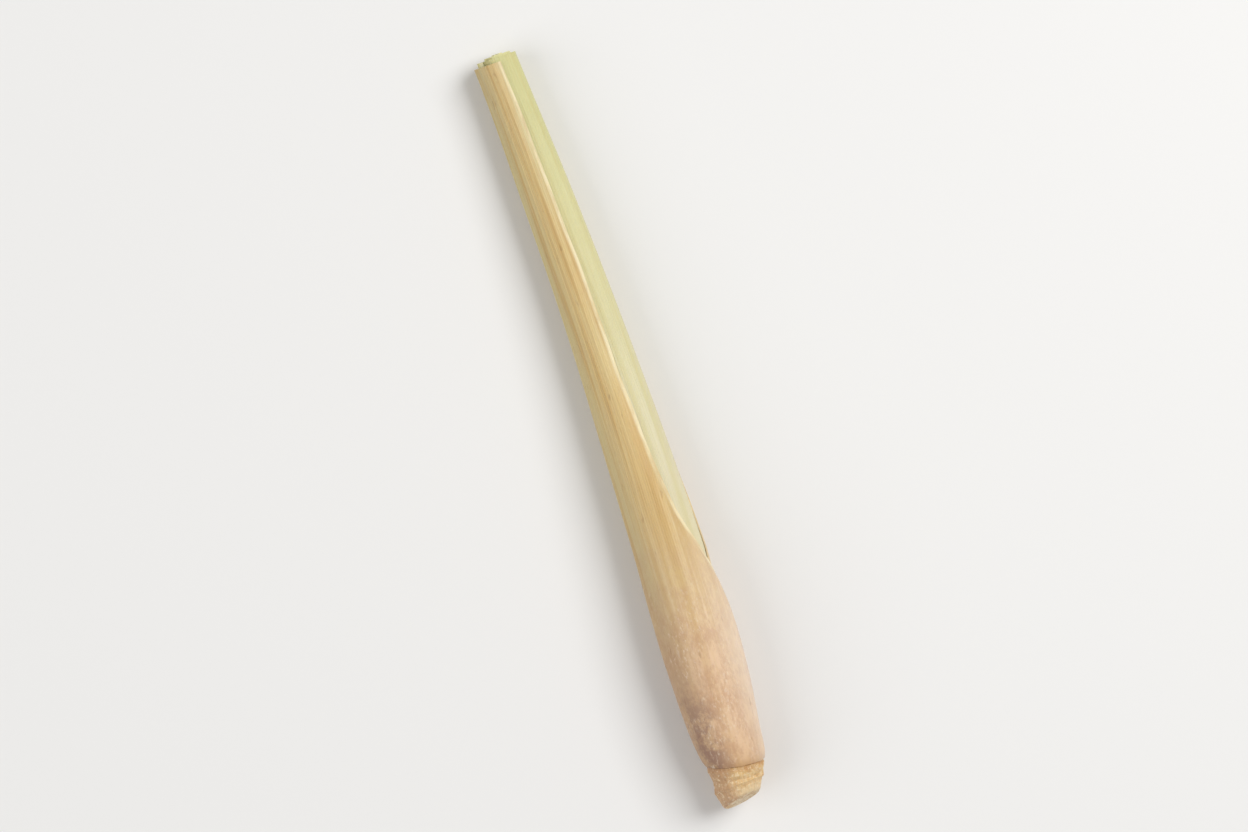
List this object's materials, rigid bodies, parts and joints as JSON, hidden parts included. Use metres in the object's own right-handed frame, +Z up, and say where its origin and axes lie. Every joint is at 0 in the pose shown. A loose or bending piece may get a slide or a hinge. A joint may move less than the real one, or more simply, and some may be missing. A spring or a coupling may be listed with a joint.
{
  "type": "lemongrass stalk",
  "caption": "Cut lemongrass stalk lying down: rolled leaf sheaths round a swollen base with a short root stub, tapering to a flat cut leaf end.",
  "frame": {"origin": "middle of the footprint, on the surface that the stalk lies on", "axes": "+X along the stalk from the root end to the cut leaf end, +Y to the back of the oldest sheath, +Z up"},
  "size_m": [0.1472, 0.015, 0.0143],
  "materials": {
    "stem_base": "matt, fibrous, tan-brown",
    "old_sheath": "satin, fine lengthwise veins, tan to orange",
    "green_sheath": "satin, fine lengthwise veins, pale yellow-green",
    "pale_sheath": "moist, pale cream-green",
    "heart_leaf": "moist, near-white"
  },
  "bodies": {
    "root": {"root_stub": "stem_base", "sheath_outer": "old_sheath", "sheath_second": "green_sheath", "sheath_third": "pale_sheath", "sheath_fourth": "pale_sheath", "leaf_heart": "heart_leaf"}
  },
  "joints": []
}
